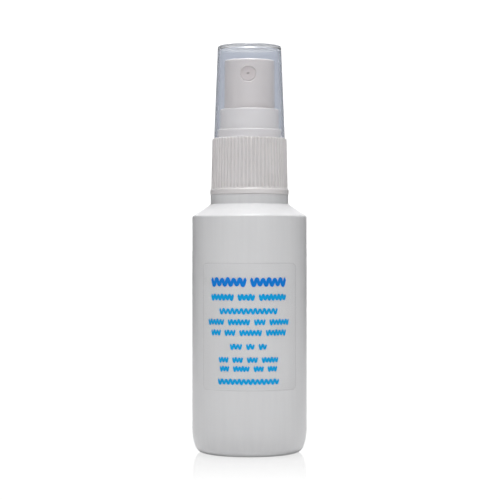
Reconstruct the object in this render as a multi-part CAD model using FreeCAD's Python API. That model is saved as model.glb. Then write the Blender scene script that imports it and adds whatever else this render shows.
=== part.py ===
"""Lens cleaning spray: a round 59 ml plastic bottle with a screw-on fine mist pump and a clear overcap.

Millimetres, +Z up. The origin is the centre of the circle that the bottle stands on, the Z axis is the
axis of the bottle and of the pump, and the nozzle and the label face -Y. Each sub-part is one node.
The button is free to turn on the pump, and its nozzle stands a few degrees to one side of the label.
"""

import FreeCAD
import Part

import math
import os

Vector = FreeCAD.Vector
ORIGIN = Vector(0, 0, 0)
UP = Vector(0, 0, 1)
FORWARD = Vector(0, -1, 0)

# ---- Edge roundings, and how far a cutting shape runs past a face ----
FINE_ROUND = 0.15
EDGE_ROUND = 0.25
SOFT_ROUND = 0.3
WIDE_ROUND = 0.5
OVERRUN = 1.0
CUT_MARGIN = 0.1
TOLERANCE = 1e-6

# ---- Bottle ----
BODY_R = 17.75
BODY_WALL = 0.85
SHOULDER_Z = 73.4
SHOULDER_ROUND = 0.8
NECK_BASE_Z = 77.1
NECK_RING_R = 12.1
NECK_RING_TOP_Z = 80.05
NECK_R = 8.8
NECK_RING_WALL = 1.2
NECK_RING_ROOF = 1.1
NECK_BORE_R = 7.7
NECK_BORE_END_Z = 79.85
INNER_NECK_DROP = 0.3
INNER_SHOULDER_DROP = 0.5
LAND_Z = 93.8
BASE_RING_INNER_R = 12.4
PUSH_UP = 1.3
FOOT_LINE_R = 16.22
FOOT_LINE_Z = 4.69
FOOT_R = 2.7
FOOT_WALL = 0.68
FLANK_R = 17.5
SEAM_HEIGHT = 0.06
SEAM_WIDTH = 0.3
SEAM_BOTTOM_Z = 0.6
PINCH_OFF_LENGTH = 13.0
PINCH_OFF_WIDTH = 0.5
PINCH_OFF_HEIGHT = 0.3

# ---- Neck finish: 20 mm, 8 threads to the inch, one and a half turns ----
THREAD_PITCH = 25.4 / 8
THREAD_TURNS = 1.5
THREAD_R = 9.8
THREAD_START_Z = 86.9
THREAD_ROOT_WIDTH = 1.7
THREAD_CREST_WIDTH = 0.7
THREAD_SINK = 0.3

# ---- Fluid and label ----
FLUID_TOP_Z = 68.3
FLUID_GAP = 0.03
FLUID_TUBE_GAP = 0.17
LABEL_GAP = 0.01
LABEL_THICKNESS = 0.06
LABEL_HALF_ANGLE = 53.0
LABEL_BOTTOM_Z = 20.2
LABEL_TOP_Z = 59.1
LABEL_CORNER_R = 1.6

# ---- Screw closure ----
CLOSURE_BOTTOM_Z = 80.08
CLOSURE_BEAD_R = 12.22
CLOSURE_BEAD_TOP_Z = 81.95
CLOSURE_BEAD_SLOPE = 0.45
CLOSURE_SKIRT_LOW_R = 11.92
CLOSURE_SKIRT_HIGH_R = 11.56
CLOSURE_TOP_Z = 97.5
CLOSURE_TOP_ROUND = 0.45
CLOSURE_BORE_R = 10.15
CLOSURE_ROOF_Z = 96.1
CLOSURE_THREAD_R = 9.15
CLOSURE_THREAD_TURNS = 1.25
CLOSURE_THREAD_DROP = 1.125
CLOSURE_THREAD_LEAD = 0.1
SEAT_R = 9.98
SEAT_TOP_Z = 100.15
TOWER_R = 9.23
TOWER_BORE_R = 8.05
TOWER_FLOOR_Z = 97.6
TOWER_TOP_Z = 106.5
CLOSURE_HOLE_R = 6.35
RIB_COUNT = 60
GROOVE_R = 0.42
GROOVE_DEPTH = 0.38
GROOVE_START = 0.1

# ---- Overcap ----
CAP_BOTTOM_Z = 97.55
CAP_TOP_Z = 126.3
CAP_LOW_R = 11.05
CAP_HIGH_R = 9.9
CAP_WALL = 0.95
CAP_ROOF = 1.1
CAP_SEAT_R = 10.03
CAP_SEAT_TOP_Z = 100.6
CAP_SEAT_SLOPE = 0.3
CAP_TOP_ROUND = 0.7
CAP_GATE_R = 0.7
CAP_GATE_DEPTH = 0.25

# ---- Actuator and nozzle insert ----
ACTUATOR_TOP_Z = 121.75
ACTUATOR_BOTTOM_Z = 102.4
ACTUATOR_LOW_R = 7.84
ACTUATOR_HIGH_R = 7.75
ACTUATOR_WALL = 1.1
ACTUATOR_ROOF_Z = 120.1
ACTUATOR_TOP_ROUND = 0.45
BUTTON_TURN = -3.6
FINGER_DISH_R = 6.5
FINGER_DISH_DEPTH = 0.9
BOSS_R = 2.9
BOSS_BOTTOM_Z = 104.0
RISER_R = 0.95
NOZZLE_Z = 117.15
NOZZLE_BOSS_R = 3.5
NOZZLE_SOCKET_R = 2.25
NOZZLE_SOCKET_END = 3.4
NOZZLE_MOUTH_R = 2.75
NOZZLE_MOUTH_DEPTH = 0.7
NOZZLE_POST_R = 1.35
NOZZLE_POST_TIP = 6.1
FEED_OFFSET = 1.8
FEED_R = 0.4
RIB_THICKNESS = 0.7
RIB_SPACES = 4
RIB_BOTTOM_Z = 109.0
INSERT_FACE = 7.15
INSERT_BACK = 3.8
INSERT_FIT = 0.02
INSERT_FACE_WALL = 0.85
ORIFICE_R = 0.18
ORIFICE_CONE_R = 0.45
ORIFICE_CONE_DEPTH = 0.3
SWIRL_R = 0.55
SWIRL_DEPTH = 0.18
SWIRL_SLOT = 0.3
SWIRL_SLOTS = 3

# ---- Pump ----
FLANGE_R = 8.5
FLANGE_BOTTOM_Z = 94.9
FLANGE_TOP_Z = 96.05
HOUSING_COLLAR_R = 5.2
HOUSING_COLLAR_TOP_Z = 98.0
CHAMBER_R = 3.6
CHAMBER_OUTER_R = 4.7
CHAMBER_STEP_Z = 77.4
CAGE_OUTER_R = 3.0
CAGE_R = 1.75
CAGE_TOP_Z = 76.95
CAGE_FLOOR_Z = 74.2
CAGE_TABS = 4
CAGE_TAB_REACH = 0.55
CAGE_TAB_WIDTH = 0.7
CAGE_TAB_SINK = 0.3
INLET_R = 0.8
SOCKET_TOP_Z = 71.5
SOCKET_BOTTOM_Z = 62.5
SOCKET_R = 1.45
SOCKET_OUTER_R = 2.5
SOCKET_NECK_DROP = 0.8
VENT_Z = 91.0
VENT_R = 0.4
LOCK_CAP_R = 6.25
LOCK_CAP_INNER_R = 5.22
LOCK_CAP_BOTTOM_Z = 96.15
LOCK_CAP_PLATE_Z = 98.05
LOCK_CAP_TOP_Z = 99.2
GUIDE_R = 2.7
GUIDE_BORE_R = 1.67
GUIDE_BOTTOM_Z = 95.0
GASKET_BOTTOM_Z = 93.82
GASKET_TOP_Z = 94.88
GASKET_BORE_R = 4.85
STEM_R = 1.6
STEM_BORE_R = 0.95
STEM_TOP_Z = 112.5
STEM_BOTTOM_Z = 94.0
STEM_STOP_R = 2.4
STEM_STOP_BOTTOM_Z = 94.3
STEM_STOP_TOP_Z = 94.9
STEM_FIT = 0.02
STEM_END_GAP = 0.05
ROD_TOP_Z = 99.0
ROD_UPPER_R = 0.93
ROD_R = 1.15
ROD_FLUTE = 0.7
ROD_FLUTES = 4
ROD_FLUTE_FLOOR = 0.45
ROD_FLUTE_START = 0.6
ROD_FLANGE_R = 2.95
ROD_FLANGE_BOTTOM_Z = 87.4
ROD_FLANGE_TOP_Z = 88.4
ROD_PILOT_R = 2.2
ROD_PILOT_BOTTOM_Z = 85.6
PISTON_R = 3.58
PISTON_WAIST_R = 2.95
PISTON_LIP_INNER_R = 3.15
PISTON_BORE_R = 1.3
PISTON_HUB_BOTTOM_Z = 88.42
PISTON_HUB_TOP_Z = 93.2
PISTON_LIP_BOTTOM_Z = 87.6
PISTON_LIP_TOP_Z = 94.0
PISTON_LIP_LENGTH = 1.5
PISTON_LIP_SLOPE = 0.4
PISTON_CHAMFER = 0.5
SPRING_R = 2.6
SPRING_WIRE_R = 0.25
SPRING_TURNS = 6.5
SPRING_END_GAP = 0.03
BALL_R = 1.5
BALL_SEAT_GAP = 0.015
TUBE_R = 1.43
TUBE_BORE_R = 0.95
TUBE_TOP_Z = 71.4
TUBE_BOTTOM_Z = 4.2
TUBE_CUT_ANGLE = 30.0


def rounded_wire(corners):
    """A closed wire in the XZ plane. Each corner is (x, z) or (x, z, radius of its rounding)."""
    count = len(corners)
    points = [Vector(c[0], 0, c[1]) for c in corners]
    starts, ends, arcs = [], [], []
    for i, corner in enumerate(corners):
        radius = corner[2] if len(corner) > 2 else 0
        to_last = (points[i - 1] - points[i]).normalize()
        to_next = (points[(i + 1) % count] - points[i]).normalize()
        if radius == 0:
            starts.append(points[i])
            ends.append(points[i])
            arcs.append(None)
            continue
        half = to_last.getAngle(to_next) / 2
        reach = radius / math.tan(half)
        inward = (to_last + to_next).normalize()
        centre = points[i] + inward * (radius / math.sin(half))
        starts.append(points[i] + to_last * reach)
        ends.append(points[i] + to_next * reach)
        arcs.append(Part.Arc(starts[i], centre - inward * radius, ends[i]).toShape())
    edges = []
    for i in range(count):
        if arcs[i]:
            edges.append(arcs[i])
        following = starts[(i + 1) % count]
        if ends[i].distanceToPoint(following) > TOLERANCE:
            edges.append(Part.makeLine(ends[i], following))
    return Part.Wire(Part.__sortEdges__(edges))


def turned(corners):
    """A solid of revolution about Z from an outline of (radius, z, rounding) corners."""
    return Part.Face(rounded_wire(corners)).revolve(ORIGIN, UP, 360)


def tube(outer_r, inner_r, bottom, top):
    ring = Part.makeCylinder(outer_r, top - bottom, Vector(0, 0, bottom))
    return ring.cut(Part.makeCylinder(inner_r, top - bottom, Vector(0, 0, bottom)))


def around(shape, count, start=0.0):
    """Copies of a shape spaced evenly about Z, as a list."""
    copies = []
    for i in range(count):
        copy = shape.copy()
        copy.rotate(ORIGIN, UP, start + 360.0 * i / count)
        copies.append(copy)
    return copies


def thread_ridge(root_r, crest_r, turns, start_z, start_turn):
    """A trapezoid ridge along a right-hand helix. Its root is sunk into the wall that carries it."""
    outward = 1 if crest_r > root_r else -1
    sunk_r = root_r - outward * THREAD_SINK
    half_root = THREAD_ROOT_WIDTH / 2
    half_crest = THREAD_CREST_WIDTH / 2
    section = Part.makePolygon(
        [
            Vector(sunk_r, 0, -half_root),
            Vector(root_r, 0, -half_root),
            Vector(crest_r, 0, -half_crest),
            Vector(crest_r, 0, half_crest),
            Vector(root_r, 0, half_root),
            Vector(sunk_r, 0, half_root),
            Vector(sunk_r, 0, -half_root),
        ]
    )
    path = Part.makeHelix(THREAD_PITCH, THREAD_PITCH * turns, root_r)
    ridge = Part.Wire(path.Edges).makePipeShell([section], True, True)
    ridge.translate(Vector(0, 0, start_z + THREAD_PITCH * start_turn))
    ridge.rotate(ORIGIN, UP, 360.0 * start_turn)
    return ridge


# ---- Bottle, fluid and label ----


def bottle_outside():
    """Corners up the outside, from the standing ring to the sealing land."""
    return [
        (FOOT_LINE_R, 0, FOOT_R),
        (BODY_R, FOOT_LINE_Z, FLANK_R),
        (BODY_R, SHOULDER_Z, SHOULDER_ROUND),
        (NECK_RING_R, NECK_BASE_Z, SOFT_ROUND),
        (NECK_RING_R, NECK_RING_TOP_Z, FINE_ROUND),
        (NECK_R, NECK_RING_TOP_Z, SOFT_ROUND),
        (NECK_R, LAND_Z, SOFT_ROUND),
    ]


def bottle_inside(gap):
    """Corners down the inside, from under the neck to the floor, this far in from the wall."""
    inner_r = BODY_R - BODY_WALL - gap
    ring_r = NECK_RING_R - NECK_RING_WALL
    floor = BODY_WALL + gap
    return [
        (ring_r, NECK_RING_TOP_Z - NECK_RING_ROOF, WIDE_ROUND),
        (ring_r, NECK_BASE_Z - INNER_NECK_DROP, WIDE_ROUND),
        (inner_r, SHOULDER_Z - INNER_SHOULDER_DROP, WIDE_ROUND),
        (inner_r, FOOT_LINE_Z, FLANK_R - BODY_WALL - gap),
        (FOOT_LINE_R - FOOT_WALL - gap, floor, FOOT_R - BODY_WALL - gap),
        (BASE_RING_INNER_R, floor),
    ]


def push_up_dome(height):
    """The ball whose top is the concave middle of the base, at this height on the axis."""
    radius = (BASE_RING_INNER_R**2 + PUSH_UP**2) / (2 * PUSH_UP)
    return Part.makeSphere(radius, Vector(0, 0, height - radius))


def bottle():
    shell = turned(
        [(0, 0)]
        + bottle_outside()
        + [(NECK_BORE_R, LAND_Z, EDGE_ROUND), (NECK_BORE_R, NECK_BORE_END_Z, SHOULDER_ROUND)]
        + bottle_inside(0)
        + [(0, BODY_WALL)]
    )
    floor = Part.makeCylinder(BASE_RING_INNER_R, BASE_RING_INNER_R)
    floor = floor.common(push_up_dome(PUSH_UP + BODY_WALL))
    shell = shell.fuse(floor).cut(push_up_dome(PUSH_UP))
    seam_band = turned(
        [(NECK_R, BODY_WALL / 2)]
        + [(r + SEAM_HEIGHT, z, *rest) for r, z, *rest in bottle_outside()[:3]]
        + [(NECK_RING_R + SEAM_HEIGHT, NECK_BASE_Z), (NECK_R, NECK_BASE_Z)]
    )
    reach = BODY_R + OVERRUN
    seam_corner = Vector(-reach, -SEAM_WIDTH / 2, SEAM_BOTTOM_Z)
    seam_slab = Part.makeBox(2 * reach, SEAM_WIDTH, NECK_BASE_Z, seam_corner)
    core = turned([(0, 0)] + bottle_outside()[:3] + [(NECK_RING_R, NECK_BASE_Z), (0, NECK_BASE_Z)])
    seam = seam_band.common(seam_slab).cut(core)
    pinch_off = Part.makeBox(
        PINCH_OFF_LENGTH,
        PINCH_OFF_WIDTH,
        2 * PUSH_UP,
        Vector(-PINCH_OFF_LENGTH / 2, -PINCH_OFF_WIDTH / 2, 0),
    )
    pinch_off = pinch_off.common(push_up_dome(PUSH_UP + BODY_WALL / 2))
    pinch_off = pinch_off.cut(push_up_dome(PUSH_UP - PINCH_OFF_HEIGHT))
    thread = thread_ridge(NECK_R, THREAD_R, THREAD_TURNS, THREAD_START_Z, 0)
    return shell.fuse([*seam.Solids, pinch_off, thread])


def cleaning_fluid():
    """59 ml of fluid, clear of the dip tube and of the tube socket that lift through it."""
    low = [c for c in bottle_inside(FLUID_GAP) if c[1] < FLUID_TOP_Z]
    fluid = turned(
        [(0, FLUID_TOP_Z), (BODY_R - BODY_WALL - FLUID_GAP, FLUID_TOP_Z)]
        + low
        + [(0, BODY_WALL + FLUID_GAP)]
    )
    fluid = fluid.cut(push_up_dome(PUSH_UP + BODY_WALL + FLUID_GAP))
    tube_hole = Part.makeCylinder(TUBE_R + FLUID_TUBE_GAP, FLUID_TOP_Z)
    socket_hole = Part.makeCylinder(
        SOCKET_OUTER_R + FLUID_TUBE_GAP, FLUID_TOP_Z, Vector(0, 0, SOCKET_BOTTOM_Z - FLUID_TUBE_GAP)
    )
    return fluid.cut([tube_hole, socket_hole])


def front_label():
    """A clear film with rounded corners, wrapped round the front of the body."""
    inner_r = BODY_R + LABEL_GAP
    outer_r = inner_r + LABEL_THICKNESS
    film = tube(outer_r, inner_r, LABEL_BOTTOM_Z, LABEL_TOP_Z)
    half_width = outer_r * math.sin(math.radians(LABEL_HALF_ANGLE))
    window = rounded_wire(
        [
            (-half_width, LABEL_BOTTOM_Z, LABEL_CORNER_R),
            (half_width, LABEL_BOTTOM_Z, LABEL_CORNER_R),
            (half_width, LABEL_TOP_Z, LABEL_CORNER_R),
            (-half_width, LABEL_TOP_Z, LABEL_CORNER_R),
        ]
    )
    return film.common(Part.Face(window).extrude(FORWARD * (2 * BODY_R)))


# ---- Closure and overcap ----


def skirt_radius(z):
    """Radius over the ribs at a height on the tapered skirt."""
    share = (z - CLOSURE_BEAD_TOP_Z) / (CLOSURE_TOP_Z - CLOSURE_BEAD_TOP_Z)
    return CLOSURE_SKIRT_LOW_R + (CLOSURE_SKIRT_HIGH_R - CLOSURE_SKIRT_LOW_R) * share


def grip_groove():
    """One round groove of the grip, parallel to the taper, from the bead out through the top edge."""
    bottom_z = CLOSURE_BEAD_TOP_Z + GROOVE_START
    top_z = CLOSURE_TOP_Z + OVERRUN
    offset = GROOVE_R - GROOVE_DEPTH
    bottom = Vector(skirt_radius(bottom_z) + offset, 0, bottom_z)
    top = Vector(skirt_radius(top_z) + offset, 0, top_z)
    return Part.makeCylinder(GROOVE_R, bottom.distanceToPoint(top), bottom, top - bottom)


def screw_closure():
    body = turned(
        [
            (CLOSURE_BORE_R, CLOSURE_BOTTOM_Z, EDGE_ROUND),
            (CLOSURE_BEAD_R, CLOSURE_BOTTOM_Z, FINE_ROUND),
            (CLOSURE_BEAD_R, CLOSURE_BEAD_TOP_Z - CLOSURE_BEAD_SLOPE, EDGE_ROUND),
            (CLOSURE_SKIRT_LOW_R, CLOSURE_BEAD_TOP_Z),
            (CLOSURE_SKIRT_HIGH_R, CLOSURE_TOP_Z, CLOSURE_TOP_ROUND),
            (SEAT_R, CLOSURE_TOP_Z),
            (SEAT_R, SEAT_TOP_Z, EDGE_ROUND),
            (TOWER_R, SEAT_TOP_Z, FINE_ROUND),
            (TOWER_R, TOWER_TOP_Z, SOFT_ROUND),
            (TOWER_BORE_R, TOWER_TOP_Z, SOFT_ROUND),
            (TOWER_BORE_R, TOWER_FLOOR_Z, SOFT_ROUND),
            (CLOSURE_HOLE_R, TOWER_FLOOR_Z, EDGE_ROUND),
            (CLOSURE_HOLE_R, CLOSURE_ROOF_Z, EDGE_ROUND),
            (CLOSURE_BORE_R, CLOSURE_ROOF_Z, SOFT_ROUND),
        ]
    )
    body = body.cut(around(grip_groove(), RIB_COUNT))
    start_z = THREAD_START_Z - CLOSURE_THREAD_DROP
    thread = thread_ridge(
        CLOSURE_BORE_R, CLOSURE_THREAD_R, CLOSURE_THREAD_TURNS, start_z, CLOSURE_THREAD_LEAD
    )
    return body.fuse(thread)


def overcap():
    inner_low_r = CAP_LOW_R - CAP_WALL - (CAP_LOW_R - CAP_HIGH_R) * (
        (CAP_SEAT_TOP_Z - CAP_BOTTOM_Z) / (CAP_TOP_Z - CAP_BOTTOM_Z)
    )
    shell = turned(
        [
            (CAP_SEAT_R, CAP_BOTTOM_Z, EDGE_ROUND),
            (CAP_LOW_R, CAP_BOTTOM_Z, EDGE_ROUND),
            (CAP_HIGH_R, CAP_TOP_Z, CAP_TOP_ROUND),
            (0, CAP_TOP_Z),
            (0, CAP_TOP_Z - CAP_ROOF),
            (CAP_HIGH_R - CAP_WALL, CAP_TOP_Z - CAP_ROOF, WIDE_ROUND),
            (inner_low_r, CAP_SEAT_TOP_Z),
            (CAP_SEAT_R, CAP_SEAT_TOP_Z - CAP_SEAT_SLOPE),
        ]
    )
    gate = Part.makeCylinder(CAP_GATE_R, OVERRUN, Vector(0, 0, CAP_TOP_Z - CAP_GATE_DEPTH))
    return shell.cut(gate)


# ---- Actuator and nozzle ----


def actuator():
    """The finger button: a hollow shell with a boss on the stem and a boss for the nozzle insert."""
    outside = turned(
        [
            (0, ACTUATOR_BOTTOM_Z),
            (ACTUATOR_LOW_R, ACTUATOR_BOTTOM_Z, EDGE_ROUND),
            (ACTUATOR_HIGH_R, ACTUATOR_TOP_Z, ACTUATOR_TOP_ROUND),
            (0, ACTUATOR_TOP_Z),
        ]
    )
    dish_r = (FINGER_DISH_R**2 + FINGER_DISH_DEPTH**2) / (2 * FINGER_DISH_DEPTH)
    dish = Part.makeSphere(dish_r, Vector(0, 0, ACTUATOR_TOP_Z - FINGER_DISH_DEPTH + dish_r))
    hollow = turned(
        [
            (BOSS_R, ACTUATOR_BOTTOM_Z - OVERRUN),
            (ACTUATOR_LOW_R - ACTUATOR_WALL, ACTUATOR_BOTTOM_Z - OVERRUN),
            (ACTUATOR_HIGH_R - ACTUATOR_WALL, ACTUATOR_ROOF_Z, WIDE_ROUND),
            (BOSS_R, ACTUATOR_ROOF_Z, SOFT_ROUND),
        ]
    )
    nozzle_boss = Part.makeCylinder(NOZZLE_BOSS_R, ACTUATOR_HIGH_R, Vector(0, 0, NOZZLE_Z), FORWARD)
    rib = Part.makeBox(
        ACTUATOR_HIGH_R, RIB_THICKNESS, ACTUATOR_TOP_Z, Vector(0, -RIB_THICKNESS / 2, RIB_BOTTOM_Z)
    )
    hollow = hollow.cut([nozzle_boss, *around(rib, RIB_SPACES)[:RIB_SPACES // 2 + 1]])
    under_boss = Part.makeCylinder(BOSS_R + CUT_MARGIN, BOSS_BOTTOM_Z)
    stem_bore = Part.makeCylinder(STEM_R + STEM_FIT, STEM_TOP_Z + STEM_END_GAP)
    feed_z = NOZZLE_Z - FEED_OFFSET
    riser = Part.makeCylinder(RISER_R, feed_z + FEED_R - STEM_TOP_Z, Vector(0, 0, STEM_TOP_Z))
    feed = Part.makeCylinder(FEED_R, NOZZLE_SOCKET_END + CUT_MARGIN, Vector(0, 0, feed_z), FORWARD)
    socket_start = Vector(0, -NOZZLE_SOCKET_END, NOZZLE_Z)
    socket = Part.makeCylinder(NOZZLE_SOCKET_R, ACTUATOR_LOW_R, socket_start, FORWARD)
    post = Part.makeCylinder(NOZZLE_POST_R, NOZZLE_POST_TIP - NOZZLE_SOCKET_END, socket_start, FORWARD)
    mouth = Part.makeCone(
        NOZZLE_SOCKET_R,
        2 * NOZZLE_MOUTH_R - NOZZLE_SOCKET_R,
        2 * NOZZLE_MOUTH_DEPTH,
        Vector(0, NOZZLE_MOUTH_DEPTH - ACTUATOR_HIGH_R, NOZZLE_Z),
        FORWARD,
    )
    button = outside.cut([dish, hollow, under_boss, stem_bore, riser, feed, socket.cut(post), mouth])
    button.rotate(ORIGIN, UP, BUTTON_TURN)
    return button


def nozzle_insert():
    """A cup pressed over the actuator's post, with a swirl chamber behind its orifice."""
    fit_r = NOZZLE_SOCKET_R - INSERT_FIT
    face = -INSERT_FACE
    bore_r = NOZZLE_POST_R + INSERT_FIT
    cup = Part.makeCylinder(fit_r, INSERT_FACE - INSERT_BACK, Vector(0, -INSERT_BACK, NOZZLE_Z), FORWARD)
    rim = [e for e in cup.Edges if e.Closed and abs(e.BoundBox.YMin - face) < TOLERANCE]
    cup = cup.makeFillet(FINE_ROUND, rim)
    wall_back = INSERT_FACE - INSERT_FACE_WALL
    bore = Part.makeCylinder(bore_r, wall_back - INSERT_BACK, Vector(0, -INSERT_BACK, NOZZLE_Z), FORWARD)
    swirl = Part.makeCylinder(SWIRL_R, SWIRL_DEPTH, Vector(0, -wall_back, NOZZLE_Z), FORWARD)
    slot_corner = Vector(SWIRL_R - SWIRL_SLOT, -wall_back - SWIRL_DEPTH, NOZZLE_Z)
    slot = Part.makeBox(SWIRL_SLOT, SWIRL_DEPTH, bore_r, slot_corner)
    slots = []
    for i in range(SWIRL_SLOTS):
        copy = slot.copy()
        copy.rotate(Vector(0, 0, NOZZLE_Z), FORWARD, 360.0 * i / SWIRL_SLOTS)
        slots.append(copy)
    orifice = Part.makeCylinder(ORIFICE_R, INSERT_FACE, Vector(0, 0, NOZZLE_Z), FORWARD)
    cone = Part.makeCone(
        ORIFICE_CONE_R, ORIFICE_R, ORIFICE_CONE_DEPTH, Vector(0, face, NOZZLE_Z), FORWARD * -1
    )
    insert = cup.cut([bore, swirl, *slots, orifice, cone])
    insert.rotate(ORIGIN, UP, BUTTON_TURN)
    return insert


# ---- Pump ----


def pump_housing():
    body = turned(
        [
            (CHAMBER_R, HOUSING_COLLAR_TOP_Z, EDGE_ROUND),
            (HOUSING_COLLAR_R, HOUSING_COLLAR_TOP_Z, EDGE_ROUND),
            (HOUSING_COLLAR_R, FLANGE_TOP_Z),
            (FLANGE_R, FLANGE_TOP_Z, EDGE_ROUND),
            (FLANGE_R, FLANGE_BOTTOM_Z, EDGE_ROUND),
            (CHAMBER_OUTER_R, FLANGE_BOTTOM_Z),
            (CHAMBER_OUTER_R, CAGE_TOP_Z, WIDE_ROUND),
            (CAGE_OUTER_R, CAGE_FLOOR_Z, SOFT_ROUND),
            (CAGE_OUTER_R, SOCKET_TOP_Z, SOFT_ROUND),
            (SOCKET_OUTER_R, SOCKET_TOP_Z - SOCKET_NECK_DROP),
            (SOCKET_OUTER_R, SOCKET_BOTTOM_Z, SOFT_ROUND),
            (SOCKET_R, SOCKET_BOTTOM_Z, EDGE_ROUND),
            (SOCKET_R, SOCKET_TOP_Z),
            (INLET_R, SOCKET_TOP_Z),
            (INLET_R, CAGE_FLOOR_Z - (CAGE_R - INLET_R)),
            (CAGE_R, CAGE_FLOOR_Z),
            (CAGE_R, CHAMBER_STEP_Z),
            (CHAMBER_R, CHAMBER_STEP_Z),
        ]
    )
    tab = Part.makeBox(
        CAGE_TAB_REACH + CAGE_TAB_SINK,
        CAGE_TAB_WIDTH,
        CHAMBER_STEP_Z - CAGE_TOP_Z,
        Vector(CAGE_R - CAGE_TAB_REACH, -CAGE_TAB_WIDTH / 2, CAGE_TOP_Z),
    )
    vent = Part.makeCylinder(VENT_R, 2 * CHAMBER_R, Vector(0, 0, VENT_Z), Vector(1, 0, 0))
    return body.fuse(around(tab, CAGE_TABS)).cut(vent)


def lock_cap():
    """The ring that snaps over the housing's collar, guides the stem and stops it at the top."""
    return turned(
        [
            (LOCK_CAP_INNER_R, LOCK_CAP_BOTTOM_Z),
            (LOCK_CAP_R, LOCK_CAP_BOTTOM_Z, FINE_ROUND),
            (LOCK_CAP_R, LOCK_CAP_TOP_Z, SOFT_ROUND),
            (GUIDE_BORE_R, LOCK_CAP_TOP_Z, EDGE_ROUND),
            (GUIDE_BORE_R, GUIDE_BOTTOM_Z),
            (GUIDE_R, GUIDE_BOTTOM_Z, EDGE_ROUND),
            (GUIDE_R, LOCK_CAP_PLATE_Z, EDGE_ROUND),
            (LOCK_CAP_INNER_R, LOCK_CAP_PLATE_Z),
        ]
    )


def neck_gasket():
    return tube(FLANGE_R, GASKET_BORE_R, GASKET_BOTTOM_Z, GASKET_TOP_Z)


def stem():
    """The hollow upper half of the plunger, which carries the actuator."""
    return turned(
        [
            (STEM_BORE_R, STEM_BOTTOM_Z),
            (STEM_R, STEM_BOTTOM_Z),
            (STEM_R, STEM_STOP_BOTTOM_Z),
            (STEM_STOP_R, STEM_STOP_BOTTOM_Z, FINE_ROUND),
            (STEM_STOP_R, STEM_STOP_TOP_Z, FINE_ROUND),
            (STEM_R, STEM_STOP_TOP_Z),
            (STEM_R, STEM_TOP_Z, EDGE_ROUND),
            (STEM_BORE_R, STEM_TOP_Z),
        ]
    )


def valve_rod():
    """The lower half of the plunger: a fluted rod in the stem, and the flange that seals the piston."""
    rod = turned(
        [
            (0, ROD_TOP_Z),
            (ROD_UPPER_R, ROD_TOP_Z, EDGE_ROUND),
            (ROD_UPPER_R, STEM_BOTTOM_Z - STEM_END_GAP),
            (ROD_R, STEM_BOTTOM_Z - STEM_END_GAP),
            (ROD_R, ROD_FLANGE_TOP_Z),
            (ROD_FLANGE_R, ROD_FLANGE_TOP_Z, FINE_ROUND),
            (ROD_FLANGE_R, ROD_FLANGE_BOTTOM_Z, FINE_ROUND),
            (ROD_PILOT_R, ROD_FLANGE_BOTTOM_Z),
            (ROD_PILOT_R, ROD_PILOT_BOTTOM_Z, SOFT_ROUND),
            (0, ROD_PILOT_BOTTOM_Z),
        ]
    )
    flute_bottom_z = ROD_FLANGE_TOP_Z + ROD_FLUTE_START
    flute_corner = Vector(ROD_FLUTE_FLOOR, -ROD_FLUTE / 2, flute_bottom_z)
    flute = Part.makeBox(ROD_R, ROD_FLUTE, ROD_TOP_Z - flute_bottom_z, flute_corner)
    return rod.cut(around(flute, ROD_FLUTES))


def piston():
    """A soft ring with a sealing lip at each end. It slides a little way on the rod to open the flutes."""
    low_lip_end_z = PISTON_LIP_BOTTOM_Z + PISTON_LIP_LENGTH
    high_lip_end_z = PISTON_LIP_TOP_Z - PISTON_LIP_LENGTH
    return turned(
        [
            (PISTON_BORE_R, PISTON_HUB_BOTTOM_Z),
            (PISTON_LIP_INNER_R, PISTON_HUB_BOTTOM_Z + PISTON_CHAMFER),
            (PISTON_LIP_INNER_R, PISTON_LIP_BOTTOM_Z),
            (PISTON_R, PISTON_LIP_BOTTOM_Z, FINE_ROUND),
            (PISTON_R, low_lip_end_z, EDGE_ROUND),
            (PISTON_WAIST_R, low_lip_end_z + PISTON_LIP_SLOPE),
            (PISTON_WAIST_R, high_lip_end_z - PISTON_LIP_SLOPE),
            (PISTON_R, high_lip_end_z, EDGE_ROUND),
            (PISTON_R, PISTON_LIP_TOP_Z, FINE_ROUND),
            (PISTON_LIP_INNER_R, PISTON_LIP_TOP_Z),
            (PISTON_LIP_INNER_R, PISTON_HUB_TOP_Z - PISTON_CHAMFER),
            (PISTON_LIP_INNER_R - PISTON_CHAMFER, PISTON_HUB_TOP_Z),
            (PISTON_BORE_R, PISTON_HUB_TOP_Z),
        ]
    )


def return_spring():
    """Half turns that rise by the same step. Each is an arc in a plane tilted about the Y axis."""
    half_turns = int(2 * SPRING_TURNS)
    low = CHAMBER_STEP_Z + SPRING_END_GAP + SPRING_WIRE_R
    high = ROD_FLANGE_BOTTOM_Z - SPRING_END_GAP - SPRING_WIRE_R
    step = (high - low) / half_turns
    turns = []
    for i in range(half_turns):
        side = -1 if i % 2 else 1
        start = Vector(side * SPRING_R, 0, low + i * step)
        end = Vector(-side * SPRING_R, 0, low + (i + 1) * step)
        section = Part.Face(Part.Wire(Part.makeCircle(SPRING_WIRE_R, start, FORWARD).Edges))
        axis = (end - start).cross(FORWARD) * side
        turns.append(section.revolve((start + end) / 2, axis, 180))
    return turns[0].fuse(turns[1:])


def inlet_ball():
    """The ball that shuts the inlet, a hair above its 45 degree seat."""
    seat_apex_z = CAGE_FLOOR_Z - CAGE_R
    centre_z = seat_apex_z + BALL_R * math.sqrt(2) + BALL_SEAT_GAP
    return Part.makeSphere(BALL_R, Vector(0, 0, centre_z))


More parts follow.
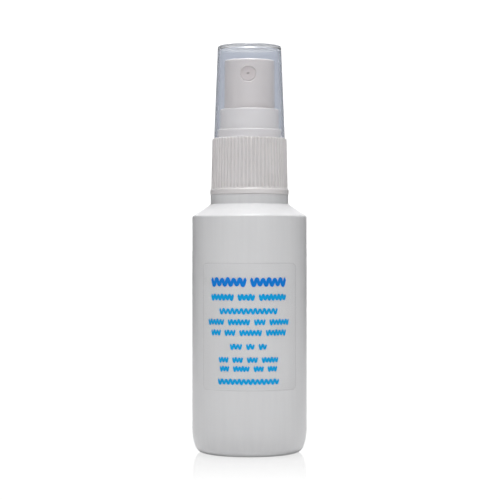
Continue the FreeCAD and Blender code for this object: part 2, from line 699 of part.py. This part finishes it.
def dip_tube():
    """The suction tube, cut off at a slant so that the floor can't seal it."""
    whole = tube(TUBE_R, TUBE_BORE_R, TUBE_BOTTOM_Z, TUBE_TOP_Z)
    wedge = Part.makeBox(2 * BODY_R, 2 * BODY_R, BODY_R, Vector(-BODY_R, -BODY_R, -BODY_R))
    wedge.rotate(ORIGIN, Vector(1, 0, 0), TUBE_CUT_ANGLE)
    wedge.translate(Vector(0, 0, TUBE_BOTTOM_Z + TUBE_R * math.tan(math.radians(TUBE_CUT_ANGLE))))
    return whole.cut(wedge)


SUB_PARTS = [
    bottle,
    cleaning_fluid,
    front_label,
    screw_closure,
    overcap,
    actuator,
    nozzle_insert,
    pump_housing,
    lock_cap,
    neck_gasket,
    stem,
    valve_rod,
    piston,
    return_spring,
    inlet_ball,
    dip_tube,
]


def main():
    os.makedirs("parts", exist_ok=True)
    for make in SUB_PARTS:
        shape = make()
        if len(shape.Solids) == 1:
            shape = shape.Solids[0]
        shape.exportStep(f"parts/{make.__name__}.step")
        print(f"{make.__name__}: {len(shape.Solids)} solid, {shape.Volume:.1f} mm3, {shape.isValid()}")


main()
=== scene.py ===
"""Looks of the lens cleaning spray: materials, label print, spring, floor, light and camera.

Metres, in the CAD model's frame: +Z up along the bottle's axis, and the nozzle and the label face -Y.
"""

import math

import bmesh
import bpy
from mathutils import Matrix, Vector


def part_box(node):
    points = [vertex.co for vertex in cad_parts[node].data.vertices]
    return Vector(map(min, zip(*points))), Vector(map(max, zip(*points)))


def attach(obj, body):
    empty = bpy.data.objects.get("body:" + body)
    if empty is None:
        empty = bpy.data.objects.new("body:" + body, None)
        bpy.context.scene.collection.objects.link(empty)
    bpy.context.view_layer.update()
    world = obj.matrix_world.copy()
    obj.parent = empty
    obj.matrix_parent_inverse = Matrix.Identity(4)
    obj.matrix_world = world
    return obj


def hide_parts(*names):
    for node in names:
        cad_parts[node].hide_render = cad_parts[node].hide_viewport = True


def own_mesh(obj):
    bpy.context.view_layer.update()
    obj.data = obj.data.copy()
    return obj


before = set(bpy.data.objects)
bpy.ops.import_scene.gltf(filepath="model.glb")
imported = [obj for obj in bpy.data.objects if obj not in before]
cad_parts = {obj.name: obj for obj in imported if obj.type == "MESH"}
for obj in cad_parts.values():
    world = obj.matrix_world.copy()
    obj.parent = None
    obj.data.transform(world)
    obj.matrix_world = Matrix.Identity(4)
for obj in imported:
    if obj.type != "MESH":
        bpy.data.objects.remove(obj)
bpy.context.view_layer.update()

MM = 0.001

# ---- Camera ----
CAMERA_DISTANCE = 541 * MM
CAMERA_HEIGHT = 64.4 * MM
CAMERA_AIM = Vector((0.16 * MM, 0, 62.85 * MM))
CAMERA_CLIP = (0.01, 20)
# The lens and the sensor are in millimetres, as Blender takes them.
CAMERA_LENS = 125.0
SENSOR_WIDTH = 36.0

# ---- World, as colours of light ----
# What the camera sees behind the object, and what it sees there through the clear cap.
BACKDROP = (1.2, 1.2, 1.2)
SEEN_THROUGH = (0.43, 0.455, 0.515)
# What lights matt surfaces, and what glossy ones mirror.
ROOM_LIGHT = (0.015, 0.015, 0.017)
ROOM_SHINE = (0.07, 0.072, 0.08)
# Glossy surfaces mirror the backdrop up to this many degrees from +Y.
BACKDROP_CONE = 18

# ---- Lamps, in metres and watts ----
SOFTBOX_AT = (0, 0, 0.80)
SOFTBOX_AIM = (0, 0, 0)
SOFTBOX_SIZE = (0.20, 1.0)
SOFTBOX_POWER = 10.0
FILL_AT = (0, -1.2, 0.35)
FILL_AIM = (0, 0, 0.06)
FILL_SIZE = (0.6, 0.6)
FILL_POWER = 2.1

# ---- Floor ----
FLOOR_SIZE = 80
FLOOR_WHITE = 1.05
FLOOR_GLOW = 0.065
# The bottle's mirror image fades from MIRROR_STRENGTH at its side to nothing at MIRROR_END.
BODY_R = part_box("bottle")[1].x
MIRROR_STRENGTH = 0.27
MIRROR_END = 81 * MM
MIRROR_ROUGHNESS = 0.05

# ---- Materials ----
# A colour's two tones lie at these shares of the noise between them.
DARK_SHARE = 0.3
LIGHT_SHARE = 0.7

# ---- Label print ----
# The ink lies this far off the film, so that their faces don't coincide.
INK_GAP = 0.003 * MM
INK_THICKNESS = 0.012 * MM
WORD_GAP = 1.4 * MM
# The middle of the print is this far to -X of the label's.
PRINT_SHIFT = 0.35 * MM
# A word's line is a sine with blunted peaks, whose height swells and shrinks along the word.
SQUIGGLE_STEPS = 14
PEAK_POWER = 0.8
SWELL_MIDDLE = 0.88
SWELL_DEPTH = 0.12
SWELL_PER_WAVE = 2.6

# ---- Label's cut edge ----
RIM_WIDTH = 0.22 * MM
RIM_CORNER = 1.6 * MM
CORNER_STEPS = 6
RIM_STEP = 1.0 * MM

# ---- Closure's grip ----
# The grooves run between these heights, and this much painted shade darkens their bottoms.
RIB_COUNT = 60
GRIP_BOTTOM = 82.3 * MM
GRIP_TOP = 97.2 * MM
PAINTED_GROOVE_SHADE = 0.14

# ---- Return spring ----
WIRE_R = 0.25 * MM
SPRING_TURNS = 6.5
# Turns that lie flat, shared between the two ends.
SPRING_FLAT_TURNS = 0.9
# How much of the rise eases in and out; the rest is even.
SPRING_EASE = 0.35
SPRING_STEPS = 40
WIRE_SIDES = 12
UP = Vector((0, 0, 1))


# ---- Material helpers ----


def new_material(name, **inputs):
    """A Principled material. Each keyword is one of its sockets, with _ for a space."""
    material = bpy.data.materials.new(name)
    material.use_nodes = True
    shader = material.node_tree.nodes["Principled BSDF"]
    for key, value in inputs.items():
        shader.inputs[key.replace("_", " ")].default_value = value
    return material, shader


def add_node(material, kind, **settings):
    """A node in a material. Each keyword is one of its sockets or settings."""
    node = material.node_tree.nodes.new(kind)
    for key, value in settings.items():
        if key in node.inputs:
            node.inputs[key].default_value = value
        else:
            setattr(node, key, value)
    return node


def place(material, stretch=(1, 1, 1)):
    """Object coordinates in metres. A factor below 1 in stretch draws a pattern out along that axis."""
    coordinates = add_node(material, "ShaderNodeTexCoord")
    mapping = add_node(material, "ShaderNodeMapping", Scale=stretch)
    material.node_tree.links.new(coordinates.outputs["Object"], mapping.inputs["Vector"])
    return mapping.outputs["Vector"]


def noise(material, scale, detail=3.0, stretch=(1, 1, 1)):
    """A noise from 0 to 1 whose features are about 1 / scale metres across."""
    texture = add_node(material, "ShaderNodeTexNoise", Scale=scale, Detail=detail)
    material.node_tree.links.new(place(material, stretch), texture.inputs["Vector"])
    return texture.outputs["Fac"]


def vary_colour(material, shader, fac, dark, light):
    """The base colour drifts between two near tones."""
    ramp = add_node(material, "ShaderNodeValToRGB")
    stops = ((DARK_SHARE, dark), (LIGHT_SHARE, light))
    for element, (position, tone) in zip(ramp.color_ramp.elements, stops):
        element.position = position
        element.color = (*tone, 1)
    material.node_tree.links.new(fac, ramp.inputs["Fac"])
    material.node_tree.links.new(ramp.outputs["Color"], shader.inputs["Base Color"])


def lighter(colour, factor):
    return [tone * factor for tone in colour]


def remap(material, value, low, high, start=0.0, end=1.0):
    """A value that goes from start to end, turned into one that goes from low to high."""
    spread = add_node(material, "ShaderNodeMapRange")
    limits = {"From Min": start, "From Max": end, "To Min": low, "To Max": high}
    for socket, limit in limits.items():
        spread.inputs[socket].default_value = limit
    material.node_tree.links.new(value, spread.inputs["Value"])
    return spread.outputs["Result"]


def vary_roughness(material, shader, fac, low, high):
    """The roughness drifts between two values."""
    material.node_tree.links.new(remap(material, fac, low, high), shader.inputs["Roughness"])


def add_bumps(material, shader, *layers):
    """Bumps on bumps. Each layer is (noise output, height in metres)."""
    under = None
    for fac, height in layers:
        bump = add_node(material, "ShaderNodeBump", Strength=1.0, Distance=height)
        material.node_tree.links.new(fac, bump.inputs["Height"])
        if under:
            material.node_tree.links.new(under, bump.inputs["Normal"])
        under = bump.outputs["Normal"]
    material.node_tree.links.new(under, shader.inputs["Normal"])


def math_node(tree, operation, *values):
    """A Math node. Each value is a number or an output."""
    node = tree.nodes.new("ShaderNodeMath")
    node.operation = operation
    for socket, value in zip(node.inputs, values):
        if isinstance(value, (int, float)):
            socket.default_value = value
        else:
            tree.links.new(value, socket)
    return node.outputs["Value"]


def mix_shaders(tree, fac, first, second):
    """The first shader where fac is 0, and the second where it is 1."""
    node = tree.nodes.new("ShaderNodeMixShader")
    for socket, output in zip(node.inputs, (fac, first, second)):
        tree.links.new(output, socket)
    return node.outputs["Shader"]


# ---- The materials ----


def bottle_material():
    """Natural HDPE: satin, cloudy, with the faint upright streaks of a blown bottle."""
    material, shader = new_material(
        "bottle_hdpe",
        IOR=1.54,
        Specular_IOR_Level=0.35,
        Subsurface_Weight=0.25,
        Subsurface_Scale=1.2 * MM,
        Subsurface_Radius=(1.0, 1.0, 1.0),
    )
    streaks = noise(material, 700, 2, stretch=(1, 1, 0.05))
    vary_colour(material, shader, streaks, dark=(0.765, 0.765, 0.775), light=(0.79, 0.79, 0.798))
    vary_roughness(material, shader, noise(material, 350), low=0.26, high=0.32)
    add_bumps(
        material,
        shader,
        (noise(material, 90, 1), 0.012 * MM),
        (streaks, 0.002 * MM),
        (noise(material, 2600, 2), 0.0015 * MM),
    )
    return material


def white_material(name, dark, light, grain):
    """Injection-moulded polypropylene: semi-gloss, with a fine moulded grain."""
    material, shader = new_material(
        name,
        IOR=1.49,
        Specular_IOR_Level=0.45,
        Subsurface_Weight=0.15,
        Subsurface_Scale=0.8 * MM,
        Subsurface_Radius=(1.0, 0.95, 0.9),
    )
    vary_colour(material, shader, noise(material, 180), dark, light)
    vary_roughness(material, shader, noise(material, 500), low=0.30, high=0.40)
    waves = (noise(material, 120, 1), 0.02 * MM)
    pits = (noise(material, grain, 2), 0.002 * MM)
    add_bumps(material, shader, waves, pits)
    return material


def closure_material():
    """The closure's white plastic, with painted shade along the bottoms of the grip grooves."""
    material = white_material("closure_plastic", (0.79, 0.765, 0.765), (0.82, 0.795, 0.795), grain=3000)
    tree = material.node_tree
    links = tree.links

    turn = add_node(material, "ShaderNodeTexGradient", gradient_type="RADIAL")
    links.new(place(material), turn.inputs["Vector"])
    angle = math_node(tree, "MULTIPLY", turn.outputs["Fac"], 2 * math.pi * RIB_COUNT)
    groove = math_node(tree, "MULTIPLY_ADD", math_node(tree, "COSINE", angle), 0.5, 0.5)

    height = add_node(material, "ShaderNodeSeparateXYZ")
    links.new(place(material), height.inputs["Vector"])
    above = math_node(tree, "GREATER_THAN", height.outputs["Z"], GRIP_BOTTOM)
    below = math_node(tree, "LESS_THAN", height.outputs["Z"], GRIP_TOP)
    grip = math_node(tree, "MULTIPLY", above, below)
    painted_shade_mask = math_node(tree, "MULTIPLY", groove, grip)
    painted_shade = math_node(tree, "MULTIPLY", painted_shade_mask, PAINTED_GROOVE_SHADE)

    # Painted shade: the base colour is mixed towards black along the bottoms of the grooves.
    base_colour = tree.nodes["Principled BSDF"].inputs["Base Color"]
    mix = add_node(material, "ShaderNodeMix", data_type="RGBA")
    links.new(painted_shade, mix.inputs["Factor"])
    links.new(base_colour.links[0].from_socket, mix.inputs["A"])
    mix.inputs["B"].default_value = (0, 0, 0, 1)
    links.new(mix.outputs["Result"], base_colour)
    return material


def clear_cap_material():
    """Clear polypropylene with a little bluish haze and the slight waves of a thin moulding.

    The IOR is below the plastic's own 1.49, which keeps the edges of the thin wall light.
    """
    material, shader = new_material("clear_cap", IOR=1.22, Transmission_Weight=0.97, Specular_IOR_Level=0.5)
    tint = noise(material, 60, 1)
    vary_colour(material, shader, tint, dark=(0.95, 0.965, 0.99), light=(0.965, 0.975, 0.995))
    vary_roughness(material, shader, noise(material, 300), low=0.15, high=0.19)
    add_bumps(material, shader, (noise(material, 140, 1), 0.015 * MM))
    return material


def film_material(name, colour, alpha):
    """Clear self-adhesive film, glossier than the bottle under it."""
    material, shader = new_material(name, IOR=1.49, Alpha=alpha)
    vary_colour(material, shader, noise(material, 250), colour, lighter(colour, 1.05))
    vary_roughness(material, shader, noise(material, 400), low=0.26, high=0.34)
    add_bumps(material, shader, (noise(material, 160, 1), 0.01 * MM))
    return material


def ink_material(name, dark, light):
    """Screen-printed ink, thin in places."""
    material, shader = new_material(name, IOR=1.5, Specular_IOR_Level=0.2)
    vary_colour(material, shader, noise(material, 2200, 3), dark, light)
    vary_roughness(material, shader, noise(material, 900), low=0.34, high=0.48)
    add_bumps(material, shader, (noise(material, 3500, 2), 0.002 * MM))
    return material


def steel_material(name, stretch, low, high):
    """Stainless steel with fine marks, drawn out along an axis by a factor below 1 in stretch."""
    material, shader = new_material(name, Metallic=1.0)
    marks = noise(material, 3000, 2, stretch=stretch)
    vary_colour(material, shader, marks, dark=(0.56, 0.56, 0.57), light=(0.68, 0.68, 0.69))
    vary_roughness(material, shader, marks, low, high)
    add_bumps(material, shader, (marks, 0.002 * MM))
    return material


def natural_material(name, colour, alpha):
    """Unpigmented plastic of the pump's inner pieces."""
    material, shader = new_material(
        name,
        IOR=1.49,
        Alpha=alpha,
        Subsurface_Weight=0.1,
        Subsurface_Scale=1.0 * MM,
    )
    vary_colour(material, shader, noise(material, 220), colour, lighter(colour, 1.04))
    vary_roughness(material, shader, noise(material, 600), low=0.32, high=0.42)
    add_bumps(material, shader, (noise(material, 300, 2), 0.004 * MM))
    return material


def foam_material():
    """Foamed polyethylene of the gasket, with a fine closed cell texture."""
    material, shader = new_material("gasket_foam", IOR=1.5, Specular_IOR_Level=0.3)
    cells = add_node(material, "ShaderNodeTexVoronoi", Scale=3500)
    material.node_tree.links.new(place(material), cells.inputs["Vector"])
    depth = cells.outputs["Distance"]
    vary_colour(material, shader, depth, dark=(0.80, 0.80, 0.78), light=(0.88, 0.88, 0.86))
    vary_roughness(material, shader, noise(material, 900), low=0.6, high=0.75)
    add_bumps(material, shader, (depth, 0.02 * MM))
    return material


def fluid_material():
    """Water-clear cleaning fluid."""
    material, shader = new_material("fluid", IOR=1.34, Transmission_Weight=1.0)
    tint = noise(material, 40, 1)
    vary_colour(material, shader, tint, dark=(0.94, 0.97, 0.985), light=(0.96, 0.98, 0.99))
    vary_roughness(material, shader, noise(material, 100), low=0.0, high=0.02)
    return material


def floor_material():
    """A white table whose faint mirror image of the bottle fades away from it.

    The camera sees the white and the mirror image, and everything else is lit by a matt floor.
    """
    material, shader = new_material(
        "floor",
        IOR=1.45,
        Specular_IOR_Level=0.3,
        Emission_Color=(1, 1, 1, 1),
        Emission_Strength=FLOOR_GLOW,
    )
    tree = material.node_tree
    vary_colour(material, shader, noise(material, 8, 2), dark=(0.80, 0.80, 0.80), light=(0.82, 0.82, 0.82))
    vary_roughness(material, shader, noise(material, 12), low=0.35, high=0.45)

    white = add_node(material, "ShaderNodeEmission", Strength=FLOOR_WHITE)
    mirror = add_node(material, "ShaderNodeBsdfGlossy", Roughness=MIRROR_ROUGHNESS)
    away = add_node(material, "ShaderNodeVectorMath", operation="LENGTH")
    tree.links.new(place(material), away.inputs[0])
    fade = remap(material, away.outputs["Value"], MIRROR_STRENGTH, 0, start=BODY_R, end=MIRROR_END)
    shown = mix_shaders(tree, fade, white.outputs["Emission"], mirror.outputs["BSDF"])

    path = add_node(material, "ShaderNodeLightPath")
    both = mix_shaders(tree, path.outputs["Is Camera Ray"], shader.outputs["BSDF"], shown)
    tree.links.new(both, tree.nodes["Material Output"].inputs["Surface"])
    return material


def paint_cad_nodes():
    """Each CAD node keeps its shape and takes a detailed material."""
    # These white plastics are darker than the closure's: painted shade for the clear cap over the actuator,
    # the lock cap and the nozzle insert.
    white = white_material("white_plastic", (0.715, 0.675, 0.67), (0.74, 0.70, 0.695), grain=2400)
    insert = white_material("insert_plastic", (0.70, 0.64, 0.635), (0.725, 0.665, 0.66), grain=4000)
    natural = natural_material("natural_plastic", (0.80, 0.81, 0.82), alpha=1.0)
    looks = {
        "bottle": bottle_material(),
        "cleaning_fluid": fluid_material(),
        "front_label": film_material("label_film", (0.70, 0.70, 0.71), alpha=0.02),
        "screw_closure": closure_material(),
        "overcap": clear_cap_material(),
        "actuator": white,
        "nozzle_insert": insert,
        "pump_housing": natural,
        "lock_cap": white,
        "neck_gasket": foam_material(),
        "stem": white,
        "valve_rod": natural,
        "piston": natural,
        "inlet_ball": steel_material("ball_steel", (1, 1, 1), low=0.04, high=0.10),
        "dip_tube": natural_material("tube_plastic", (0.86, 0.88, 0.89), alpha=0.6),
    }
    # Light falls on what is inside the clear cap as if the cap weren't there.
    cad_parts["overcap"].visible_shadow = False
    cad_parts["overcap"].visible_diffuse = False
    for node, material in looks.items():
        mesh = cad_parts[node].data
        mesh.materials.clear()
        mesh.materials.append(material)
        mesh.polygons.foreach_set("material_index", [0] * len(mesh.polygons))


# ---- Meshes ----


def new_piece(name, points, faces, material, smooth=True):
    """An object from points and faces, with all its faces turned outwards."""
    mesh = bpy.data.meshes.new(name)
    mesh.from_pydata(points, [], faces)
    mesh.update()
    surface = bmesh.new()
    surface.from_mesh(mesh)
    bmesh.ops.recalc_face_normals(surface, faces=surface.faces)
    surface.to_mesh(mesh)
    surface.free()
    mesh.materials.append(material)
    mesh.polygons.foreach_set("use_smooth", [smooth] * len(mesh.polygons))
    piece = bpy.data.objects.new(name, mesh)
    bpy.context.scene.collection.objects.link(piece)
    return piece


def join_pieces(name, pieces):
    """One mesh from several, with the first one's material."""
    if len(pieces) > 1:
        with bpy.context.temp_override(active_object=pieces[0], selected_editable_objects=pieces):
            bpy.ops.object.join()
    pieces[0].name = name
    return pieces[0]


def wrap(arc, z, radius):
    """A point on the bottle's front: arc is the distance round from the front line, towards +X."""
    angle = arc / radius
    return Vector((radius * math.sin(angle), -radius * math.cos(angle), z))


def ribbon(name, line, width, radius, thickness, material, closed=False):
    """A thin band of even width along a line of (arc, z) points, wrapped on a cylinder.

    It is a closed solid, and closed=True joins its end to its start.
    """
    count = len(line)
    points = []
    for i, (arc, z) in enumerate(line):
        before = line[i - 1] if i or closed else line[0]
        after = line[(i + 1) % count] if i < count - 1 or closed else line[-1]
        along = Vector((after[0] - before[0], after[1] - before[1])).normalized()
        side = Vector((-along.y, along.x)) * (width / 2)
        for sign in (-1, 1):
            for lift in (0, thickness):
                points.append(wrap(arc + sign * side.x, z + sign * side.y, radius + lift))
    faces = []
    for i in range(count if closed else count - 1):
        a, b = 4 * i, 4 * ((i + 1) % count)
        for j, k in ((0, 1), (1, 3), (3, 2), (2, 0)):
            faces.append((a + j, a + k, b + k, b + j))
    if not closed:
        last = 4 * (count - 1)
        faces += [(0, 1, 3, 2), (last, last + 2, last + 3, last + 1)]
    return new_piece(name, points, faces, material, smooth=False)


def squiggle(start, end, z, height, waves):
    """Points of a soft zigzag that stands in for a printed word."""
    steps = int(waves * SQUIGGLE_STEPS)
    line = []
    for i in range(steps + 1):
        share = i / steps
        swing = math.sin(2 * math.pi * waves * share + math.pi / 2)
        swing = math.copysign(abs(swing) ** PEAK_POWER, swing)
        swell = SWELL_MIDDLE + SWELL_DEPTH * math.sin(SWELL_PER_WAVE * waves * share)
        line.append((start + (end - start) * share, z + swell * swing * height / 2))
    return line


# Each line of print, in millimetres: height of its middle above the base, height of its marks,
# stroke, total width, and the number of waves in each of its words.
PRINT_LINES = [
    (53.2, 3.15, 1.00, 24.2, (6, 6)),
    (48.6, 2.30, 0.76, 24.3, (6, 4, 7)),
    (44.4, 2.15, 0.66, 18.3, (13,)),
    (41.1, 2.10, 0.60, 26.6, (5, 6, 3, 6)),
    (37.9, 2.10, 0.60, 24.3, (3, 3, 6, 6)),
    (33.7, 2.05, 0.62, 11.2, (3, 2, 2)),
    (29.7, 1.95, 0.58, 18.7, (3, 3, 3, 5)),
    (27.0, 1.95, 0.58, 17.9, (3, 5, 3, 3)),
    (23.1, 2.05, 0.70, 19.3, (14,)),
]


def print_label(title_ink, ink):
    """Rows of soft zigzags on the film, in place of the printed words."""
    label_low, label_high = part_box("front_label")
    radius = -label_low.y + INK_GAP
    for row, (middle, height, stroke, width, words) in enumerate(PRINT_LINES, 1):
        material = ink if row > 1 else title_ink
        wave = (width * MM - WORD_GAP * (len(words) - 1)) / sum(words)
        start = -width * MM / 2 - PRINT_SHIFT
        marks = []
        for waves in words:
            line = squiggle(start, start + wave * waves, middle * MM, (height - stroke) * MM, waves)
            marks.append(ribbon("mark", line, stroke * MM, radius, INK_THICKNESS, material))
            start += wave * waves + WORD_GAP
        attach(join_pieces(f"print_row_{row}", marks), "bottle")


def label_rim(material):
    """The cut edge of the film, drawn as a thin line of painted shade all round."""
    low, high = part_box("front_label")
    radius = -low.y + INK_GAP
    half_arc = radius * math.asin(high.x / radius) - RIM_WIDTH
    side = half_arc - RIM_CORNER
    top = high.z - RIM_WIDTH - RIM_CORNER
    bottom = low.z + RIM_WIDTH + RIM_CORNER
    line = []
    for quarter, (arc, z) in enumerate(((side, top), (-side, top), (-side, bottom), (side, bottom))):
        for step in range(CORNER_STEPS + 1):
            angle = math.radians(90 * quarter + 90 * step / CORNER_STEPS)
            line.append((arc + RIM_CORNER * math.cos(angle), z + RIM_CORNER * math.sin(angle)))
    fine = []
    for (arc, z), (next_arc, next_z) in zip(line, line[1:] + line[:1]):
        pieces = max(1, int(abs(next_arc - arc) / RIM_STEP))
        for i in range(pieces):
            fine.append((arc + (next_arc - arc) * i / pieces, z + (next_z - z) * i / pieces))
    rim = ribbon("label_rim", fine, RIM_WIDTH, radius, INK_THICKNESS / 2, material, closed=True)
    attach(rim, "bottle")


def spring_piece(material):
    """A helix of round wire whose first and last stretches lie flat."""
    low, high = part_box("return_spring")
    bottom = low.z + WIRE_R
    rise = high.z - WIRE_R - bottom
    coil_r = high.x - WIRE_R
    steps = int(SPRING_TURNS * SPRING_STEPS)
    flat = SPRING_FLAT_TURNS / SPRING_TURNS
    points = []
    for i in range(steps + 1):
        share = i / steps
        ramp = min(1.0, max(0.0, (share - flat / 2) / (1 - flat)))
        eased = ramp * ramp * (3 - 2 * ramp)
        height = bottom + rise * eased * SPRING_EASE + rise * ramp * (1 - SPRING_EASE)
        angle = 2 * math.pi * SPRING_TURNS * share
        centre = Vector((coil_r * math.cos(angle), coil_r * math.sin(angle), height))
        outward = Vector((math.cos(angle), math.sin(angle), 0))
        for k in range(WIRE_SIDES):
            around = 2 * math.pi * k / WIRE_SIDES
            across = outward * math.cos(around) + UP * math.sin(around)
            points.append(centre + across * WIRE_R)
    faces = []
    for i in range(steps):
        for k in range(WIRE_SIDES):
            a, b = i * WIRE_SIDES + k, i * WIRE_SIDES + (k + 1) % WIRE_SIDES
            faces.append((a, b, b + WIRE_SIDES, a + WIRE_SIDES))
    faces.append(tuple(range(WIRE_SIDES)))
    faces.append(tuple(steps * WIRE_SIDES + k for k in range(WIRE_SIDES)))
    spring = new_piece("spring_coil", points, faces, material)
    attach(spring, "pump")
    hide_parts("return_spring")
    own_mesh(spring)


# ---- Floor, light and camera ----


def make_floor():
    bpy.ops.mesh.primitive_plane_add(size=FLOOR_SIZE, location=(0, 0, 0))
    floor = bpy.context.object
    floor.name = "floor"
    floor.data.materials.append(floor_material())


def add_aimed(name, data, at, aim):
    """A lamp or a camera at one point that looks at another."""
    thing = bpy.data.objects.new(name, data)
    thing.location = at
    thing.rotation_euler = (Vector(aim) - thing.location).to_track_quat("-Z", "Y").to_euler()
    bpy.context.scene.collection.objects.link(thing)
    return thing


def area_light(name, at, aim, size, power):
    light = bpy.data.lights.new(name, "AREA")
    light.shape = "RECTANGLE"
    light.size, light.size_y = size
    light.energy = power
    return add_aimed(name, light, at, aim)


def make_lights():
    """A long softbox above the object, and a weak fill in front that nothing mirrors."""
    area_light("overhead_softbox", SOFTBOX_AT, SOFTBOX_AIM, SOFTBOX_SIZE, SOFTBOX_POWER)
    fill = area_light("front_fill", FILL_AT, FILL_AIM, FILL_SIZE, FILL_POWER)
    fill.visible_glossy = False
    fill.visible_transmission = False


def make_world():
    """Nearly dark, with a dim shine for glossy surfaces.

    It is white to the camera and, round +Y, in glossy surfaces, and blue-grey through the clear cap.
    """
    world = bpy.data.worlds.new("studio")
    bpy.context.scene.world = world
    world.use_nodes = True
    tree = world.node_tree
    nodes = tree.nodes

    path = nodes.new("ShaderNodeLightPath")
    shine = path.outputs["Is Glossy Ray"]
    direction = nodes.new("ShaderNodeSeparateXYZ")
    tree.links.new(nodes.new("ShaderNodeTexCoord").outputs["Generated"], direction.inputs["Vector"])
    cone = math.cos(math.radians(BACKDROP_CONE))
    behind = math_node(tree, "GREATER_THAN", direction.outputs["Y"], cone)
    mirrored = math_node(tree, "MULTIPLY", shine, behind)
    white = math_node(tree, "MAXIMUM", path.outputs["Is Camera Ray"], mirrored)
    # A ray that has scattered off a matt surface keeps the room's light, even through the cap.
    straight = math_node(tree, "LESS_THAN", path.outputs["Diffuse Depth"], 0.5)
    through = math_node(tree, "MINIMUM", path.outputs["Transmission Depth"], straight)

    nodes["Background"].inputs["Color"].default_value = (*ROOM_LIGHT, 1)
    seen = nodes["Background"].outputs["Background"]
    for fac, colour in ((shine, ROOM_SHINE), (white, BACKDROP), (through, SEEN_THROUGH)):
        background = nodes.new("ShaderNodeBackground")
        background.inputs["Color"].default_value = (*colour, 1)
        seen = mix_shaders(tree, fac, seen, background.outputs["Background"])
    tree.links.new(seen, nodes["World Output"].inputs["Surface"])


def make_camera():
    data = bpy.data.cameras.new("camera")
    data.lens = CAMERA_LENS
    data.sensor_width = SENSOR_WIDTH
    data.clip_start, data.clip_end = CAMERA_CLIP
    place_at = (0, -CAMERA_DISTANCE, CAMERA_HEIGHT)
    bpy.context.scene.camera = add_aimed("camera", data, place_at, CAMERA_AIM)


bpy.context.scene.view_settings.view_transform = "Standard"
make_camera()
paint_cad_nodes()
print_label(
    ink_material("ink_blue", (0.003, 0.20, 0.72), (0.006, 0.25, 0.82)),
    ink_material("ink_light_blue", (0.003, 0.36, 0.80), (0.006, 0.44, 0.88)),
)
# The film's edge line is faint painted shade, a grey strip over the border of the film.
label_rim(film_material("label_rim", (0.30, 0.30, 0.31), alpha=0.035))
spring_piece(steel_material("spring_steel", (1, 1, 0.2), low=0.18, high=0.30))
make_floor()
make_lights()
make_world()
